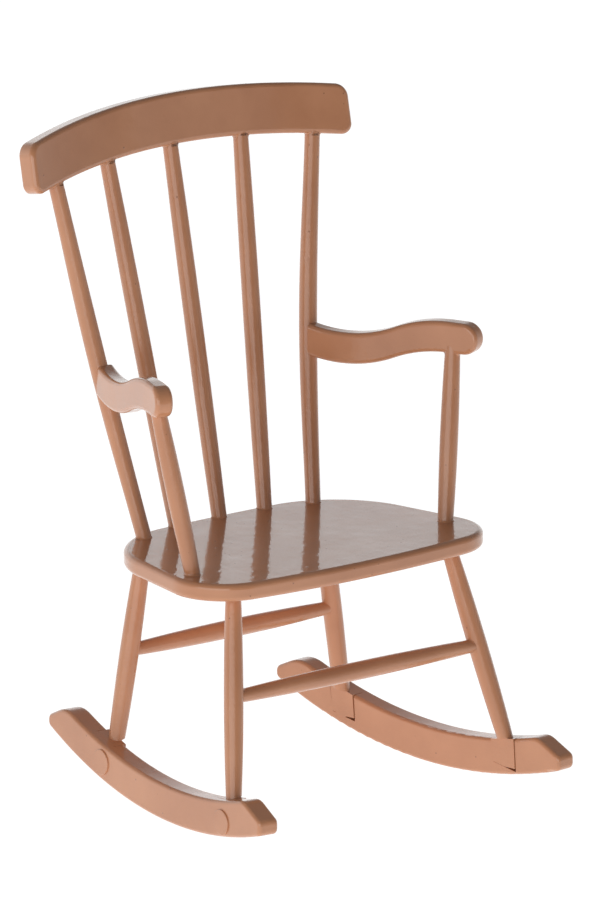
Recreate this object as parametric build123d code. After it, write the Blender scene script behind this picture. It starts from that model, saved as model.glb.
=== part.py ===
"""Miniature rocking chair for a dolls house, cast and turned in painted metal.

Lengths are in millimetres and angles in degrees. The chair is drawn with its seat
level: X runs to the right of someone facing it, Y runs to its back, Z is up, and the
seat's top face lies SEAT_HEIGHT above the lowest line of the rockers. Y = 0 is the
line through the feet of the two outer posts of the back. Left and right are those of
someone facing the chair. The empty chair is heavy at the back, so with its seat level it
would roll over its rear tips when set down. At the end everything therefore leans back
by REST_LEAN, and moves so that the origin is the bottom centre of the chair's box.
"""
from build123d import *
from math import asin, atan2, cos, degrees, radians, sin, sqrt
import os

# ---- Rest pose: how far the whole chair leans back from a level seat
REST_LEAN = 7.0

# ---- Seat: a flat board with bowed front and back edges and straight, splayed sides
SEAT_HEIGHT = 50.9
SEAT_THICKNESS = 3.6
SEAT_FRONT = -43.2
SEAT_BACK = 4.4
SEAT_FRONT_CORNER = (39.7, -39.6)
SEAT_BACK_CORNER = (31.2, 3.1)
SEAT_FRONT_CORNER_RADIUS = 11.5
SEAT_BACK_CORNER_RADIUS = 21.0
SEAT_EDGE_RADIUS = 1.1

# ---- Rods: how deep each one is let into the piece that holds it
SOCKET_DEPTH = 1.7

# ---- Back: five rods that fan out from the seat to the crest rail, centre rod first
SPINDLE_FEET = ((0.0, 2.9), (11.4, 2.5), (21.9, -0.1))
SPINDLE_HEADS_X = (0.0, 17.2, 33.1)
SPINDLE_END_DIA = 3.1
SPINDLE_MIDDLE_DIA = 3.65
POST_BEND = (26.4, 6.8, SEAT_HEIGHT + 30.0)

# ---- Crest rail: curved in plan, crowned along both long edges, leaning back
CREST_FOOT_Y = 18.06
CREST_FOOT_Z = SEAT_HEIGHT + 73.45
CREST_LEAN = 11.5
CREST_PLAN_RADIUS = 138.0
CREST_CROWN_RADIUS = 192.0
CREST_HALF_LENGTH = 41.0
CREST_HEIGHT = 10.3
CREST_THICKNESS = 4.5
CREST_SET_BACK = 0.7
CREST_TOP_CORNER_RADIUS = 3.0
CREST_LOWER_CORNER_RADIUS = 2.0
CREST_EDGE_RADIUS = 0.9

# ---- Arms: a bar that dips, rises to a hump and ends in a round nose past the arm post
ARM_HEIGHT = 6.4
ARM_THICKNESS = 3.7
ARM_REAR_END = 0.8
ARM_DIP = 7.8
ARM_DIP_TOP = SEAT_HEIGHT + 34.2
ARM_HUMP = 32.5
ARM_HUMP_TOP = SEAT_HEIGHT + 39.3
ARM_NOSE = 39.1
ARM_OVERHANG = 0.7
ARM_EDGE_RADIUS = 0.9
ARM_PEG_DIA = 1.6
ARM_PEG_DEPTH = 1.0

# ---- Arm posts
ARM_POST_FOOT = (32.7, -28.4, SEAT_HEIGHT)
ARM_POST_HEAD = (37.9, -24.3, SEAT_HEIGHT + 32.6)
ARM_POST_END_DIA = 3.15
ARM_POST_MIDDLE_DIA = 3.7

# ---- Rockers: two bars cut from a ring, toed out towards the front
ROCKER_RADIUS = 107.0
ROCKER_TOP_RADIUS = 103.0
ROCKER_HEIGHT = 7.4
ROCKER_THICKNESS = 4.6
ROCKER_LOWEST = -27.3
ROCKER_OFFSET = 31.5
ROCKER_TOE_OUT = 6.8
ROCKER_FRONT_TIP = -59.4
ROCKER_REAR_TIP = 18.3
ROCKER_FRONT_BEVEL = 6.2
ROCKER_REAR_BEVEL = 6.3
ROCKER_FRONT_TIP_HEIGHT = 2.7
ROCKER_REAR_TIP_HEIGHT = 2.1
ROCKER_TIP_RADIUS = 1.3
ROCKER_FRONT_BEVEL_RADIUS = 3.5
ROCKER_REAR_BEVEL_RADIUS = 7.0
ROCKER_EDGE_RADIUS = 0.75

# ---- Legs, each with a foot block that is let into the inner face of its rocker
FRONT_LEG_FOOT = (35.1, -44.0, SEAT_HEIGHT - 41.7)
FRONT_LEG_HEAD = (27.9, -35.2, SEAT_HEIGHT - SEAT_THICKNESS)
REAR_LEG_FOOT = (29.4, -0.3, SEAT_HEIGHT - 41.4)
REAR_LEG_HEAD = (23.2, -1.4, SEAT_HEIGHT - SEAT_THICKNESS)
LEG_FOOT_DIA = 3.2
LEG_SWELL_DIA = 3.9
LEG_HEAD_DIA = 3.1
LEG_FOOT_DEPTH = 4.0

# ---- Stretchers: one between the front legs and one between the rear legs
FRONT_STRETCHER_Z = SEAT_HEIGHT - 23.1
REAR_STRETCHER_Z = SEAT_HEIGHT - 22.3
STRETCHER_END_DIA = 2.7
STRETCHER_MIDDLE_DIA = 3.7
STRETCHER_SOCKET_DEPTH = 1.2

# ---- Foot blocks and the rivets that hold them
BLOCK_LENGTH = 6.2
BLOCK_DEPTH = 2.6
BLOCK_PROUD = 0.2
BLOCK_INNER_FACE = -ROCKER_THICKNESS / 2 - BLOCK_PROUD
BLOCK_REAR_HEIGHT = 5.0
BLOCK_FRONT_HEIGHT = 6.1
BLOCK_REAR_LEAN = 0.8
BLOCK_FRONT_LEAN = 0.4
POCKET_GAP = 0.15
RIVET_DROP = 4.1
RIVET_FORWARD = 1.6
RIVET_HEAD_DIA = 5.2
RIVET_HEAD_PROUD = 0.3
RIVET_SHANK_DIA = 2.0
RIVET_BITE = 1.4


def between(start, end, share):
    """The point that lies the given share of the way from start to end."""
    return tuple(a + (b - a) * share for a, b in zip(start, end))


def at_height(start, end, z):
    """The point of the line through start and end that has the given height."""
    return between(start, end, (z - start[2]) / (end[2] - start[2]))


def mirrored(piece):
    """The left-hand copy of a right-hand piece."""
    return mirror(piece, about=Plane.YZ)


def rod(start, end, start_dia, swell_dia, end_dia, start_depth=SOCKET_DEPTH,
        end_depth=SOCKET_DEPTH):
    """A turned rod that swells half way and runs on, straight, into its two sockets."""
    length = (Vector(*end) - Vector(*start)).length
    swell = ThreePointArc((start_dia / 2, 0), (swell_dia / 2, length / 2), (end_dia / 2, length))
    rest = Polyline(
        (end_dia / 2, length),
        (end_dia / 2, length + end_depth),
        (0, length + end_depth),
        (0, -start_depth),
        (start_dia / 2, -start_depth),
        (start_dia / 2, 0),
    )
    turned = revolve(Plane.XZ * make_face(swell + rest), Axis.Z)
    return Plane(origin=start, z_dir=Vector(*end) - Vector(*start)) * turned


def crest_underside(x):
    """The point under the middle of the crest rail at the given distance to the right."""
    back = -x * x / (2 * CREST_PLAN_RADIUS)
    up = -x * x / (2 * CREST_CROWN_RADIUS)
    lean = radians(CREST_LEAN)
    y = CREST_FOOT_Y + back * cos(lean) + up * sin(lean)
    z = CREST_FOOT_Z - back * sin(lean) + up * cos(lean)
    return (x, y, z)


def spindle_ends(index):
    """The foot and head of a right-hand rod of the back: 0 is the centre, 2 the outer post."""
    foot_x, foot_y = SPINDLE_FEET[index]
    return (foot_x, foot_y, SEAT_HEIGHT), crest_underside(SPINDLE_HEADS_X[index])


def spindle(index):
    """A right-hand rod of the back, let into the seat and the crest rail."""
    foot, head = spindle_ends(index)
    return rod(foot, head, SPINDLE_END_DIA, SPINDLE_MIDDLE_DIA, SPINDLE_END_DIA)


def outer_post():
    """The right outer post of the back, which bends a little where the arm meets it."""
    foot, head = (Vector(*end) for end in spindle_ends(2))
    bend = Vector(*POST_BEND)
    rise = (bend - foot).normalized()
    top = (head - bend).normalized()
    thin = SPINDLE_END_DIA
    stations = (
        (foot - rise * SOCKET_DEPTH, rise, thin),
        (foot, rise, thin),
        (bend, rise + top, SPINDLE_MIDDLE_DIA),
        (head, top, thin),
        (head + top * SOCKET_DEPTH, top, thin),
    )
    return loft([Plane(origin=at, z_dir=way) * Circle(dia / 2) for at, way, dia in stations])


def seat_board():
    """The seat before its sockets are cut."""
    front_x, front_y = SEAT_FRONT_CORNER
    back_x, back_y = SEAT_BACK_CORNER
    front = ThreePointArc((-front_x, front_y), (0, SEAT_FRONT), (front_x, front_y))
    right = Line((front_x, front_y), (back_x, back_y))
    back = ThreePointArc((back_x, back_y), (0, SEAT_BACK), (-back_x, back_y))
    left = Line((-back_x, back_y), (-front_x, front_y))
    outline = make_face(front + right + back + left)
    outline = fillet(outline.vertices().group_by(Axis.Y)[0], SEAT_FRONT_CORNER_RADIUS)
    outline = fillet(outline.vertices().group_by(Axis.Y)[-1], SEAT_BACK_CORNER_RADIUS)
    board = extrude(Pos(0, 0, SEAT_HEIGHT) * outline, -SEAT_THICKNESS)
    rims = board.edges().group_by(Axis.Z)
    return fillet(rims[0] + rims[-1], SEAT_EDGE_RADIUS)


def crest_elevation():
    """The crest rail seen square on: crowned edges and rounded ends."""
    half = CREST_HALF_LENGTH
    fall = CREST_CROWN_RADIUS - sqrt(CREST_CROWN_RADIUS**2 - half**2)
    top = ThreePointArc((-half, CREST_HEIGHT - fall), (0, CREST_HEIGHT), (half, CREST_HEIGHT - fall))
    right = Line((half, CREST_HEIGHT - fall), (half, -fall))
    under = ThreePointArc((half, -fall), (0, 0), (-half, -fall))
    left = Line((-half, -fall), (-half, CREST_HEIGHT - fall))
    outline = make_face(top + right + under + left)
    outline = fillet(outline.vertices().sort_by(Axis.Y)[:2], CREST_LOWER_CORNER_RADIUS)
    return fillet(outline.vertices().sort_by(Axis.Y)[-2:], CREST_TOP_CORNER_RADIUS)


def crest_bar():
    """The crest rail before its sockets are cut, drawn upright and then leaned back."""
    slab = extrude(Plane.XZ * crest_elevation(), CREST_HALF_LENGTH, both=True)
    outer = Cylinder(CREST_PLAN_RADIUS + CREST_THICKNESS / 2, 4 * CREST_HEIGHT)
    inner = Cylinder(CREST_PLAN_RADIUS - CREST_THICKNESS / 2, 4 * CREST_HEIGHT)
    bar = slab & Pos(0, -CREST_PLAN_RADIUS, 0) * (outer - inner)
    bar = fillet(bar.edges(), CREST_EDGE_RADIUS)
    return Pos(0, CREST_FOOT_Y + CREST_SET_BACK, CREST_FOOT_Z) * Rot(-CREST_LEAN, 0, 0) * bar


def arm_plane():
    """An upright plane along the right arm: x runs forwards from the back post, y is up."""
    rear_x, rear_y, _ = POST_BEND
    head_x, head_y, _ = ARM_POST_HEAD
    forwards = Vector(head_x + ARM_OVERHANG - rear_x, head_y - rear_y, 0)
    return Plane(origin=(rear_x, rear_y, 0), x_dir=forwards, z_dir=forwards.cross(Vector(0, 0, 1)))


def arm_edge(drop):
    """A long edge of the arm, the given drop below its top: a dip arc, a hump arc, a straight."""
    run = ARM_HUMP - ARM_DIP
    rise = ARM_HUMP_TOP - ARM_DIP_TOP
    turn = 2 * atan2(rise, run)
    radius = run / (2 * sin(turn))
    lead_in = asin((ARM_DIP - ARM_REAR_END) / radius)
    start = (ARM_REAR_END, ARM_DIP_TOP - drop + radius * (1 - cos(lead_in)))
    dip = JernArc(start, (cos(lead_in), -sin(lead_in)), radius, degrees(lead_in + turn))
    hump = JernArc(dip @ 1, dip % 1, radius, -degrees(turn))
    straight = Line(hump @ 1, (ARM_NOSE - ARM_HEIGHT / 2, ARM_HUMP_TOP - drop))
    return dip + hump + straight


def arm_bar():
    """The right arm before it is fitted round its posts."""
    top = arm_edge(0)
    under = arm_edge(ARM_HEIGHT)
    nose = ThreePointArc(top @ 1, (ARM_NOSE, ARM_HUMP_TOP - ARM_HEIGHT / 2), under @ 1)
    rear = Line(under @ 0, top @ 0)
    bar = extrude(Pos(0, 0, -ARM_THICKNESS / 2) * make_face(top + nose + under + rear), ARM_THICKNESS)
    sides = bar.faces().group_by(Axis.Z)
    rims = sides[0].edges() + sides[-1].edges()
    bar = fillet(rims.filter_by_position(Axis.X, 2 * ARM_REAR_END, ARM_NOSE), ARM_EDGE_RADIUS)
    return arm_plane() * bar


def arm_peg():
    """The small peg on the arm's rear end that goes into the back post."""
    start = SPINDLE_MIDDLE_DIA / 2 - ARM_PEG_DEPTH
    peg = extrude(Circle(ARM_PEG_DIA / 2), SPINDLE_MIDDLE_DIA)
    return Plane(origin=POST_BEND, z_dir=arm_plane().x_dir) * Pos(0, 0, start) * peg


def arm_post():
    """The upright under the front of the right arm."""
    return rod(ARM_POST_FOOT, ARM_POST_HEAD, ARM_POST_END_DIA, ARM_POST_MIDDLE_DIA, ARM_POST_END_DIA)


def rocker_plane():
    """The upright middle plane of the right rocker: x runs backwards, y up, z outwards."""
    toe = radians(ROCKER_TOE_OUT)
    return Plane(
        origin=(ROCKER_OFFSET, 0, 0),
        x_dir=(-sin(toe), cos(toe), 0),
        z_dir=(cos(toe), sin(toe), 0),
    )


def ring_height(radius, lowest, along):
    """Height of a ring's lower side at a place along the rocker."""
    return lowest + radius - sqrt(radius**2 - (along - ROCKER_LOWEST) ** 2)


def rocker_top(along):
    """The point of the rocker's top edge at a place along it."""
    return (along, ring_height(ROCKER_TOP_RADIUS, ROCKER_HEIGHT, along))


def rocker_bar():
    """The right rocker before its pockets and rivet holes are cut."""
    def under(along):
        return (along, ring_height(ROCKER_RADIUS, 0, along))

    front_bevel = ROCKER_FRONT_TIP + ROCKER_FRONT_BEVEL
    rear_bevel = ROCKER_REAR_TIP - ROCKER_REAR_BEVEL
    front_x, front_z = under(ROCKER_FRONT_TIP)
    rear_x, rear_z = under(ROCKER_REAR_TIP)
    belly = ThreePointArc((front_x, front_z), under(ROCKER_LOWEST), (rear_x, rear_z))
    back = ThreePointArc(rocker_top(rear_bevel), rocker_top(ROCKER_LOWEST), rocker_top(front_bevel))
    rear_end = Polyline((rear_x, rear_z), (rear_x, rear_z + ROCKER_REAR_TIP_HEIGHT), rocker_top(rear_bevel))
    front_end = Polyline(
        rocker_top(front_bevel), (front_x, front_z + ROCKER_FRONT_TIP_HEIGHT), (front_x, front_z))
    outline = make_face(belly + rear_end + back + front_end)
    outline = fillet(outline.vertices().sort_by(Axis.X)[2], ROCKER_FRONT_BEVEL_RADIUS)
    outline = fillet(outline.vertices().sort_by(Axis.X)[-3], ROCKER_REAR_BEVEL_RADIUS)
    corners = outline.vertices().sort_by(Axis.X)
    outline = fillet(corners[:2] + corners[-2:], ROCKER_TIP_RADIUS)
    bar = extrude(Pos(0, 0, -ROCKER_THICKNESS / 2) * outline, ROCKER_THICKNESS)
    sides = bar.faces().group_by(Axis.Z)
    bar = fillet(sides[0].edges() + sides[-1].edges(), ROCKER_EDGE_RADIUS)
    return rocker_plane() * bar


def foot_corners(along, gap):
    """The lower corners, rear then front, of a foot block widened by the given gap."""
    _, top = rocker_top(along)
    half = BLOCK_LENGTH / 2 + gap
    rear = (along + half - BLOCK_REAR_LEAN, top - BLOCK_REAR_HEIGHT - gap)
    front = (along - half - BLOCK_FRONT_LEAN, top - BLOCK_FRONT_HEIGHT - gap)
    return rear, front


def foot_block(along):
    """The block at the foot of a right-hand leg, cut level under its front half."""
    half = BLOCK_LENGTH / 2
    rear, front = foot_corners(along, 0)
    middle = between(rear, front, 0.5)
    outline = Polyline(
        rocker_top(along + half),
        rear,
        middle,
        (front[0], middle[1]),
        rocker_top(along - half),
        close=True,
    )
    block = extrude(Pos(0, 0, BLOCK_INNER_FACE) * make_face(outline), BLOCK_DEPTH + BLOCK_PROUD)
    return rocker_plane() * block


def foot_trim(along):
    """The cut that ends a leg's shaft flush with the inner face of its foot block."""
    rear_top = rocker_top(along + BLOCK_LENGTH)
    front_top = rocker_top(along - BLOCK_LENGTH)
    floor = front_top[1] - 2 * BLOCK_FRONT_HEIGHT
    outline = Polyline(
        rear_top,
        (rear_top[0], floor),
        (front_top[0], floor),
        front_top,
        close=True,
    )
    cut = extrude(Pos(0, 0, BLOCK_INNER_FACE) * make_face(outline), -2 * BLOCK_DEPTH)
    return rocker_plane() * cut


def foot_pocket(along):
    """The cut that takes a foot block: open at the top and on the rocker's inner face."""
    rear, front = foot_corners(along, POCKET_GAP)
    above = rear[1] + 2 * BLOCK_FRONT_HEIGHT
    half = BLOCK_LENGTH / 2 + POCKET_GAP
    outline = Polyline(
        (along + half, above),
        (along + half, rear[1] + BLOCK_REAR_HEIGHT),
        rear,
        front,
        (along - half, front[1] + BLOCK_FRONT_HEIGHT),
        (along - half, above),
        close=True,
    )
    back = -ROCKER_THICKNESS / 2 + BLOCK_DEPTH
    cut = extrude(Pos(0, 0, back) * make_face(outline), -2 * BLOCK_DEPTH)
    return rocker_plane() * cut


def rivet(along):
    """A rivet of the right rocker: a low round head outside and a shank into the foot block."""
    _, top = rocker_top(along)
    face = ROCKER_THICKNESS / 2
    head = extrude(Circle(RIVET_HEAD_DIA / 2), RIVET_HEAD_PROUD)
    head = fillet(head.edges().group_by(Axis.Z)[-1], RIVET_HEAD_PROUD / 2)
    shank = extrude(Circle(RIVET_SHANK_DIA / 2), -(ROCKER_THICKNESS - BLOCK_DEPTH + RIVET_BITE))
    return rocker_plane() * Pos(along - RIVET_FORWARD, top - RIVET_DROP, face) * (head + shank)


def foot_along(foot):
    """How far along the right rocker a leg's foot stands."""
    return rocker_plane().to_local_coords(Vector(*foot)).X


def leg(foot, head, rocker, pin, cross_rod):
    """A right-hand leg with its foot block, drilled for its rivet and its stretcher."""
    along = foot_along(foot)
    shaft = rod(foot, head, LEG_FOOT_DIA, LEG_SWELL_DIA, LEG_HEAD_DIA, start_depth=LEG_FOOT_DEPTH)
    return (shaft - rocker - foot_trim(along)) + foot_block(along) - pin - cross_rod


def stretcher(foot, head, z):
    """The rod between the right-hand leg and its left-hand twin, let into both."""
    x, y, z = at_height(foot, head, z)
    inset = LEG_SWELL_DIA / 2
    start = (-x + inset, y, z)
    end = (x - inset, y, z)
    return rod(start, end, STRETCHER_END_DIA, STRETCHER_MIDDLE_DIA, STRETCHER_END_DIA,
               start_depth=STRETCHER_SOCKET_DEPTH, end_depth=STRETCHER_SOCKET_DEPTH)


def chair():
    """Every piece of the chair by name, in the frame described at the top."""
    centre_spindle = spindle(0)
    inner_spindle = spindle(1)
    back_post = outer_post()
    post = arm_post()
    peg = arm_peg()
    arm = arm_bar() - back_post + peg - post
    front_along = foot_along(FRONT_LEG_FOOT)
    rear_along = foot_along(REAR_LEG_FOOT)
    front_rivet = rivet(front_along)
    rear_rivet = rivet(rear_along)
    rocker = rocker_bar()
    for along in (front_along, rear_along):
        rocker = rocker - foot_pocket(along) - rivet(along)
    front_stretcher = stretcher(FRONT_LEG_FOOT, FRONT_LEG_HEAD, FRONT_STRETCHER_Z)
    rear_stretcher = stretcher(REAR_LEG_FOOT, REAR_LEG_HEAD, REAR_STRETCHER_Z)
    front_leg = leg(FRONT_LEG_FOOT, FRONT_LEG_HEAD, rocker, front_rivet, front_stretcher)
    rear_leg = leg(REAR_LEG_FOOT, REAR_LEG_HEAD, rocker, rear_rivet, rear_stretcher)
    paired = {
        "back_post": back_post - peg,
        "back_spindle": inner_spindle,
        "arm": arm,
        "arm_post": post,
        "leg_front": front_leg,
        "leg_rear": rear_leg,
        "rocker": rocker,
        "rivet_front": front_rivet,
        "rivet_rear": rear_rivet,
    }
    pieces = {
        "back_spindle_centre": centre_spindle,
        "stretcher_front": front_stretcher,
        "stretcher_rear": rear_stretcher,
    }
    for name, piece in paired.items():
        pieces[name + "_right"] = piece
        pieces[name + "_left"] = mirrored(piece)
    seat = seat_board()
    crest = crest_bar()
    for name, piece in pieces.items():
        if name.startswith(("back", "arm_post", "leg")):
            seat -= piece
        if name.startswith("back"):
            crest -= piece
    return pieces | {"seat": seat, "crest_rail": crest}


def main():
    """Build the chair, lean it back, put its origin at the bottom centre and save it."""
    pieces = {name: Rot(-REST_LEAN, 0, 0) * piece for name, piece in chair().items()}
    box = Compound(list(pieces.values())).bounding_box()
    shift = Pos(-box.center().X, -box.center().Y, -box.min.Z)
    os.makedirs("parts", exist_ok=True)
    for name, piece in pieces.items():
        export_step(shift * piece, f"parts/{name}.step")


main()
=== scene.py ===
"""Studio picture of a miniature rocking chair in glossy terracotta enamel.

Lengths are in metres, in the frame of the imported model: the origin is on the floor under
the middle of the chair, -Y is the way a sitter faces, -X is the left of someone who looks
at the chair from the front and +Z is up. The whole chair leans back by REST_LEAN, so
directions that belong to the chair are leaned before they are used.
"""
import math

import bmesh
import bpy
from mathutils import Matrix, Vector
from mathutils.bvhtree import BVHTree


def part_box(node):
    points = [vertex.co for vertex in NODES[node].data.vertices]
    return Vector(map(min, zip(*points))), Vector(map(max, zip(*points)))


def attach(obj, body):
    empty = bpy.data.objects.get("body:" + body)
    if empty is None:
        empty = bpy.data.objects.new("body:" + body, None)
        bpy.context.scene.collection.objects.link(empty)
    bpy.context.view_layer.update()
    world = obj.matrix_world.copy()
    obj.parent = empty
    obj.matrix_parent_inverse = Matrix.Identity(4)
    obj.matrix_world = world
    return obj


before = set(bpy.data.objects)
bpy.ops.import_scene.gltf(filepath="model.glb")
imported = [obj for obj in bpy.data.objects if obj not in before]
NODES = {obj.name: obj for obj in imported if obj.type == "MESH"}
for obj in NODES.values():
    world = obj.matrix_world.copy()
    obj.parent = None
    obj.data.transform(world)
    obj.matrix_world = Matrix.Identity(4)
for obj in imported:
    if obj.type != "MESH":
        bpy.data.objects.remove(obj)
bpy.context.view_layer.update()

MM = 0.001
REST_LEAN = math.radians(7.0)
LEAN = Matrix.Rotation(-REST_LEAN, 3, "X")
SIDES = (("left", -1), ("right", 1))
WHITE = (1.0, 1.0, 1.0, 1.0)

# ---- Camera: its direction is seen from the chair with its seat level, and its aim is
# ---- measured from a point on the seat's top, AIM_BASE in front of its back edge's middle
CAMERA_AZIMUTH = math.radians(-39.8)
CAMERA_ELEVATION = math.radians(14.52)
CAMERA_LENS = 1000.0
SENSOR_WIDTH = 36.0
NEAREST_SEEN = 0.01
FURTHEST_SEEN = 20.0
PICTURE_HEIGHT = 179.1 * MM
AIM_BASE = 4.4 * MM
AIM_RIGHT = 14.28 * MM
AIM_UP = 13.86 * MM
AIM_FORWARD = 12.0 * MM

# ---- Enamel: dull paint under a coat of gloss
PAINT_LIGHT = (0.59, 0.272, 0.145, 1.0)
PAINT_DARK = (0.52, 0.230, 0.119, 1.0)
NIB_COLOUR = (0.34, 0.15, 0.08, 1.0)
PAINT_IOR = 1.45
PAINT_SPECULAR = 0.12
PAINT_ROUGHNESS = (0.30, 0.45)
GLOSS_IOR = 1.5

# ---- Patterns in the enamel: scales are in features to the metre, and a range is the part
# ---- of a pattern's values over which its effect grows from none to full
MOTTLE_SCALE = 70.0
MOTTLE_DETAIL = 5.0
MOTTLE_RANGE = (0.35, 0.65)
HAZE_SCALE = 140.0
HAZE_DETAIL = 3.0
HAZE_RANGE = (0.3, 0.7)
WAVE_SCALE = 330.0
WAVE_DETAIL = 1.0
PEEL_SCALE = 1300.0
PEEL_DETAIL = 2.0

# ---- Nibs of dust: their edge is a distance from a cell's middle, in cells, and they stay
# ---- only in patches, whose range is lowered by the share of nibs that an enamel asks for
NIB_SCALE = 420.0
NIB_EDGE = (0.04, 0.10)
NIB_HEIGHT = 0.03 * MM
NIB_PATCH_SCALE = 170.0
NIB_PATCH_DETAIL = 1.0
NIB_PATCH_RANGE = (0.66, 0.70)

# ---- Paint that has gathered where the rods go in
FILLET_WIDTH = 0.35 * MM
FILLET_RISE = 0.45 * MM
FILLET_SINK = 0.03 * MM
FILLET_SEGMENTS = 56
FILLET_STEPS = 7

# ---- Where a rod is cut to find its line, the cut nearer the joint first: heights above the
# ---- seat's top (or below its underside, for a leg) and distances from a stretcher's end
CUTS_AT_SEAT = (1.5 * MM, 6.0 * MM)
CUTS_AT_CREST = (67.0 * MM, 62.0 * MM)
CUTS_AT_ARM = (30.5 * MM, 26.0 * MM)
CUTS_AT_STRETCHER_END = (3.0 * MM, 8.0 * MM)

# ---- Floor
FLOOR_HALF = 3.0
FLOOR_COLOUR = (0.25, 0.25, 0.25, 1.0)
FLOOR_ROUGHNESS = 0.9
FLOOR_GLOW = 1.0

# ---- Light: sizes are width and height, and sky steps are pairs of height and level
LIT_PLACE = (0, 0, 0.06)
KEY_PLACE = (-0.80, -0.42, 0.26)
KEY_SIZE = (1.2, 0.5)
KEY_POWER = 3.8
FILL_PLACE = (0.45, -0.65, 0.15)
FILL_SIZE = (0.4, 0.5)
FILL_POWER = 0.2
SKY_LEVEL = 1.3
SKY_STEPS = ((0.0, 1.0), (0.20, 0.75), (0.40, 0.22), (1.0, 0.24))
SKY_BRIGHT_SIDE = (0.30, 0.95, 0.0)
SKY_SIDE_RANGE = (-0.5, 0.7)
SKY_DARK_SHARE = 0.15


def extent(points):
    """The lowest and highest corners of the box round some points."""
    low = Vector([min(point[axis] for point in points) for axis in range(3)])
    high = Vector([max(point[axis] for point in points) for axis in range(3)])
    return low, high


def seat_level_box():
    """The seat's lowest and highest corners in a chair that is turned back to level."""
    return extent([LEAN.inverted() @ vertex.co for vertex in NODES["seat"].data.vertices])


def placed(name, data):
    """A new object in the scene that shows the given mesh, camera or light."""
    made = bpy.data.objects.new(name, data)
    bpy.context.collection.objects.link(made)
    return made


def camera():
    """A long lens that sees the leaning chair as it would see it with its seat level."""
    back = LEAN @ Vector((
        math.sin(CAMERA_AZIMUTH) * math.cos(CAMERA_ELEVATION),
        -math.cos(CAMERA_AZIMUTH) * math.cos(CAMERA_ELEVATION),
        math.sin(CAMERA_ELEVATION),
    ))
    right = LEAN @ Vector((math.cos(CAMERA_AZIMUTH), math.sin(CAMERA_AZIMUTH), 0))
    up = back.cross(right)
    low, high = seat_level_box()
    seat_back = LEAN @ Vector((0, high.y - AIM_BASE, high.z))
    aim = seat_back + right * AIM_RIGHT + up * AIM_UP + back * AIM_FORWARD
    data = bpy.data.cameras.new("camera")
    data.lens = CAMERA_LENS
    data.sensor_width = SENSOR_WIDTH
    data.clip_start = NEAREST_SEEN
    data.clip_end = FURTHEST_SEEN
    made = placed("camera", data)
    made.location = aim + back * (PICTURE_HEIGHT * CAMERA_LENS / SENSOR_WIDTH)
    made.rotation_mode = "QUATERNION"
    made.rotation_quaternion = Matrix((right, up, back)).transposed().to_quaternion()
    bpy.context.scene.camera = made


def node(tree, kind, place, **values):
    """A shader node at a place in the node editor, with some properties and inputs set."""
    made = tree.nodes.new(kind)
    made.location = place
    for name, value in values.items():
        if hasattr(made, name):
            setattr(made, name, value)
        else:
            made.inputs[name.replace("_", " ").title()].default_value = value
    return made


def ramp(tree, place, source, low, high, bottom=0.0, top=1.0):
    """A map from the range low to high onto the range bottom to top."""
    made = node(tree, "ShaderNodeMapRange", place, from_min=low, from_max=high, to_min=bottom, to_max=top)
    tree.links.new(source, made.inputs["Value"])
    return made.outputs["Result"]


def noise(tree, place, source, scale, detail):
    """Noise of about the given number of features to the metre."""
    made = node(tree, "ShaderNodeTexNoise", place, scale=scale, detail=detail)
    tree.links.new(source, made.inputs["Vector"])
    return made.outputs["Fac"]


def bump(tree, place, height, distance, normal=None):
    """A bump of the given height in metres, on top of another one if it is given."""
    made = node(tree, "ShaderNodeBump", place, strength=1.0, distance=distance)
    tree.links.new(height, made.inputs["Height"])
    if normal:
        tree.links.new(normal, made.inputs["Normal"])
    return made.outputs["Normal"]


def product(tree, place, one, two):
    """The product of two values."""
    made = node(tree, "ShaderNodeMath", place, operation="MULTIPLY")
    tree.links.new(one, made.inputs[0])
    tree.links.new(two, made.inputs[1])
    return made.outputs["Value"]


def blend(tree, place, share, colour):
    """A mix of colours whose second one is given; share is how much of it shows."""
    made = node(tree, "ShaderNodeMix", place, data_type="RGBA")
    made.inputs["B"].default_value = colour
    tree.links.new(share, made.inputs["Factor"])
    return made


def glossy_shader(tree, gloss_roughness):
    """Dull paint under a full coat of gloss, joined to the material's output."""
    shader = node(tree, "ShaderNodeBsdfPrincipled", (600, 0))
    shader.inputs["IOR"].default_value = PAINT_IOR
    shader.inputs["Specular IOR Level"].default_value = PAINT_SPECULAR
    shader.inputs["Coat Weight"].default_value = 1.0
    shader.inputs["Coat Roughness"].default_value = gloss_roughness
    shader.inputs["Coat IOR"].default_value = GLOSS_IOR
    output = node(tree, "ShaderNodeOutputMaterial", (900, 0))
    tree.links.new(shader.outputs["BSDF"], output.inputs["Surface"])
    return shader


def mottled_paint(tree, spot):
    """The paint's two close shades in soft patches."""
    patches = noise(tree, (-1000, 350), spot, MOTTLE_SCALE, MOTTLE_DETAIL)
    body = blend(tree, (-500, 350), ramp(tree, (-750, 350), patches, *MOTTLE_RANGE), PAINT_LIGHT)
    body.inputs["A"].default_value = PAINT_DARK
    return body.outputs["Result"]


def dust_nibs(tree, spot, share):
    """Small round dots, left out wherever a slower noise is low."""
    cells = node(tree, "ShaderNodeTexVoronoi", (-1000, 0), scale=NIB_SCALE)
    tree.links.new(spot, cells.inputs["Vector"])
    dots = ramp(tree, (-750, 0), cells.outputs["Distance"], *NIB_EDGE, bottom=1.0, top=0.0)
    patches = noise(tree, (-1000, -250), spot, NIB_PATCH_SCALE, NIB_PATCH_DETAIL)
    low, high = NIB_PATCH_RANGE
    kept = ramp(tree, (-750, -250), patches, low - share, high - share)
    return product(tree, (-500, -100), dots, kept)


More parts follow.
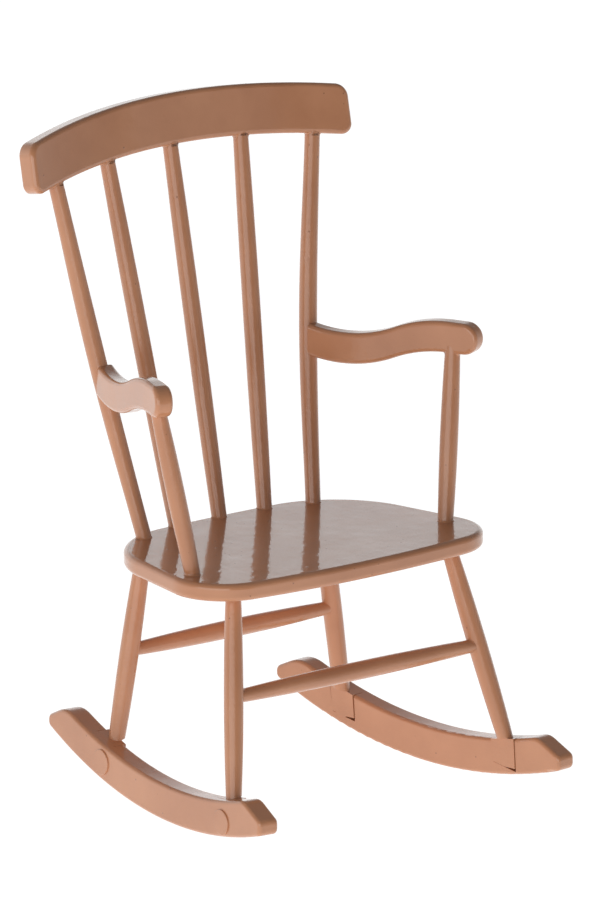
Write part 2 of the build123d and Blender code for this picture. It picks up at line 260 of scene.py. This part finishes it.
def enamel(name, peel, waves, nib_share, gloss_roughness):
    """Glossy enamel with mottled colour, slow waves, orange peel and a few nibs of dust.

    peel and waves are the heights of their bumps.
    """
    material = bpy.data.materials.new(name)
    material.use_nodes = True
    tree = material.node_tree
    tree.nodes.clear()
    link = tree.links.new
    shader = glossy_shader(tree, gloss_roughness)
    spot = node(tree, "ShaderNodeTexCoord", (-1300, 0)).outputs["Object"]

    nibs = dust_nibs(tree, spot, nib_share)
    colour = blend(tree, (-200, 250), nibs, NIB_COLOUR)
    link(mottled_paint(tree, spot), colour.inputs["A"])
    link(colour.outputs["Result"], shader.inputs["Base Color"])

    clouds = noise(tree, (-1000, -450), spot, HAZE_SCALE, HAZE_DETAIL)
    haze = ramp(tree, (-500, -450), clouds, *HAZE_RANGE, *PAINT_ROUGHNESS)
    link(haze, shader.inputs["Roughness"])

    slow = bump(tree, (-500, -750), noise(tree, (-1000, -750), spot, WAVE_SCALE, WAVE_DETAIL), waves)
    fine = bump(tree, (-200, -750), noise(tree, (-1000, -1000), spot, PEEL_SCALE, PEEL_DETAIL), peel, slow)
    raised = bump(tree, (100, -750), nibs, NIB_HEIGHT, fine)
    link(raised, shader.inputs["Normal"])
    link(raised, shader.inputs["Coat Normal"])
    return material


def paint_pieces(flat, rods, cast):
    """The paint of the CAD pieces: the flat seat, the thin rods and the thicker castings."""
    for name, made in NODES.items():
        if name == "seat":
            paint = flat
        elif name.startswith(("back", "arm_post", "leg", "stretcher")):
            paint = rods
        else:
            paint = cast
        made.data.materials.clear()
        made.data.materials.append(paint)


def ring(name, point, way):
    """The centre and least radius of the loop where a plane cuts a rod."""
    cut = bmesh.new()
    cut.from_mesh(NODES[name].data)
    found = bmesh.ops.bisect_plane(
        cut, geom=cut.verts[:] + cut.edges[:] + cut.faces[:], plane_co=point, plane_no=way)
    loop = [item.co.copy() for item in found["geom_cut"] if isinstance(item, bmesh.types.BMVert)]
    cut.free()
    low, high = extent(loop)
    centre = (low + high) / 2
    return centre, min((co - centre).length for co in loop)


def painted_band(name, loops, paint):
    """A closed, smooth band through loops of points that follow each other in a circle."""
    band = bmesh.new()
    rows = [[band.verts.new(point) for point in loop] for loop in loops]
    for here, after in zip(rows, rows[1:] + rows[:1]):
        for one in range(len(here)):
            two = (one + 1) % len(here)
            band.faces.new((here[one], here[two], after[two], after[one]))
    bmesh.ops.recalc_face_normals(band, faces=band.faces[:])
    mesh = bpy.data.meshes.new(name)
    band.to_mesh(mesh)
    band.free()
    mesh.shade_smooth()
    made = placed(mesh.name, mesh)
    mesh.materials.append(paint)
    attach(made, "root")


def paint_fillet(rod, base, cuts, paint):
    """A small concave collar of paint where a rod goes into its base.

    cuts are points on two planes that cut the rod, the one nearer the base first. The
    collar is wrapped round the line through the two cuts. Where the base is too narrow to
    meet it, the collar dies out inside the rod.
    """
    near, far = cuts
    way = (near - far).normalized()
    start, radius = ring(rod, near, way)
    beyond, _ = ring(rod, far, way)
    axis = (start - beyond).normalized()
    side = axis.orthogonal().normalized()
    across = axis.cross(side)
    surface = BVHTree.FromObject(NODES[base], bpy.context.evaluated_depsgraph_get())
    turns = [2 * math.pi * segment / FILLET_SEGMENTS for segment in range(FILLET_SEGMENTS)]
    spokes = [side * math.cos(turn) + across * math.sin(turn) for turn in turns]
    hits = [surface.ray_cast(start + spoke * (radius + FILLET_WIDTH), axis)[0] for spoke in spokes]
    reaches = [(hit - start).dot(axis) for hit in hits if hit]
    mean_reach = sum(reaches) / len(reaches)
    inside = radius - FILLET_SINK
    loops = []
    for spoke, hit in zip(spokes, hits):
        spread = FILLET_WIDTH + FILLET_SINK if hit else 0.0
        reach = (hit - start).dot(axis) if hit else mean_reach
        end = reach + FILLET_SINK
        loop = []
        for step in range(FILLET_STEPS + 1):
            bend = math.pi / 2 * step / FILLET_STEPS
            out = inside + spread * (1 - math.sin(bend))
            along = end - (FILLET_RISE + FILLET_SINK) * (1 - math.cos(bend))
            loop.append(start + spoke * out + axis * along)
        loop.append(start + spoke * inside + axis * end)
        loops.append(loop)
    painted_band(f"paint_{rod}_{base}", loops, paint)


def paint_fillets(paint):
    """The collars of paint at the seat, the crest rail, the arms and the stretchers."""
    low, high = seat_level_box()

    def above_seat(rises):
        return [LEAN @ Vector((0, 0, high.z + rise)) for rise in rises]

    def below_seat(drops):
        return [LEAN @ Vector((0, 0, low.z - drop)) for drop in drops]

    back_rods = ["back_spindle_centre"]
    back_rods += [f"{kind}_{side}" for kind in ("back_spindle", "back_post") for side, _ in SIDES]
    for rod in back_rods:
        paint_fillet(rod, "seat", above_seat(CUTS_AT_SEAT), paint)
        paint_fillet(rod, "crest_rail", above_seat(CUTS_AT_CREST), paint)
    for side, _ in SIDES:
        paint_fillet(f"arm_post_{side}", "seat", above_seat(CUTS_AT_SEAT), paint)
        paint_fillet(f"arm_post_{side}", f"arm_{side}", above_seat(CUTS_AT_ARM), paint)
        paint_fillet(f"leg_front_{side}", "seat", below_seat(CUTS_AT_SEAT), paint)
        paint_fillet(f"leg_rear_{side}", "seat", below_seat(CUTS_AT_SEAT), paint)
    for place in ("front", "rear"):
        for side, sign in SIDES:
            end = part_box(f"stretcher_{place}")[1].x * sign
            cuts = [Vector((end - depth * sign, 0, 0)) for depth in CUTS_AT_STRETCHER_END]
            paint_fillet(f"stretcher_{place}", f"leg_{place}_{side}", cuts, paint)


def floor():
    """A plain white floor, as bright as the picture's white."""
    mesh = bpy.data.meshes.new("floor")
    half = FLOOR_HALF
    corners = [(-half, -half, 0), (half, -half, 0), (half, half, 0), (-half, half, 0)]
    mesh.from_pydata(corners, [], [(0, 1, 2, 3)])
    made = placed("floor", mesh)
    material = bpy.data.materials.new("floor")
    material.use_nodes = True
    shader = material.node_tree.nodes["Principled BSDF"]
    shader.inputs["Base Color"].default_value = FLOOR_COLOUR
    shader.inputs["Roughness"].default_value = FLOOR_ROUGHNESS
    shader.inputs["Specular IOR Level"].default_value = 0.0
    shader.inputs["Emission Color"].default_value = WHITE
    shader.inputs["Emission Strength"].default_value = FLOOR_GLOW
    mesh.materials.append(material)


def softbox(name, place, size, power):
    """A rectangular soft light that faces the chair."""
    data = bpy.data.lights.new(name, "AREA")
    data.shape = "RECTANGLE"
    data.size, data.size_y = size
    data.energy = power
    made = placed(name, data)
    made.location = place
    made.rotation_mode = "QUATERNION"
    made.rotation_quaternion = (Vector(LIT_PLACE) - Vector(place)).to_track_quat("-Z", "Y")


def surroundings():
    """A pale backdrop, brightest low behind the chair, darker upwards and towards the front."""
    world = bpy.data.worlds.new("studio")
    world.use_nodes = True
    tree = world.node_tree
    background = tree.nodes["Background"]
    ray = node(tree, "ShaderNodeTexCoord", (-900, 0)).outputs["Generated"]
    parts = node(tree, "ShaderNodeSeparateXYZ", (-700, 200))
    tree.links.new(ray, parts.inputs["Vector"])
    rise = node(tree, "ShaderNodeValToRGB", (-500, 200))
    stops = rise.color_ramp.elements
    for height, _ in SKY_STEPS[1:-1]:
        stops.new(height)
    for stop, (height, level) in zip(stops, SKY_STEPS):
        stop.position = height
        stop.color = (level, level, level, 1.0)
    tree.links.new(parts.outputs["Z"], rise.inputs["Fac"])
    towards = node(tree, "ShaderNodeVectorMath", (-700, -100), operation="DOT_PRODUCT")
    towards.inputs[1].default_value = SKY_BRIGHT_SIDE
    tree.links.new(ray, towards.inputs[0])
    share = ramp(tree, (-500, -100), towards.outputs["Value"], *SKY_SIDE_RANGE,
                 SKY_LEVEL * SKY_DARK_SHARE, SKY_LEVEL)
    strength = product(tree, (-200, 0), rise.outputs["Color"], share)
    tree.links.new(strength, background.inputs["Strength"])
    background.inputs["Color"].default_value = WHITE
    bpy.context.scene.world = world


def studio():
    """A large soft key at the chair's left and a weaker fill at its front right."""
    surroundings()
    softbox("key", KEY_PLACE, KEY_SIZE, KEY_POWER)
    softbox("fill", FILL_PLACE, FILL_SIZE, FILL_POWER)
    settings = bpy.context.scene.view_settings
    settings.view_transform = "Standard"
    settings.look = "None"


def main():
    camera()
    floor()
    studio()
    flat = enamel("enamel_seat", peel=0.014 * MM, waves=0.04 * MM, nib_share=0.20, gloss_roughness=0.02)
    cast = enamel("enamel_cast", peel=0.018 * MM, waves=0.04 * MM, nib_share=0.12, gloss_roughness=0.09)
    rods = enamel("enamel_rods", peel=0.050 * MM, waves=0.03 * MM, nib_share=0.18, gloss_roughness=0.19)
    paint_pieces(flat, rods, cast)
    paint_fillets(cast)


main()
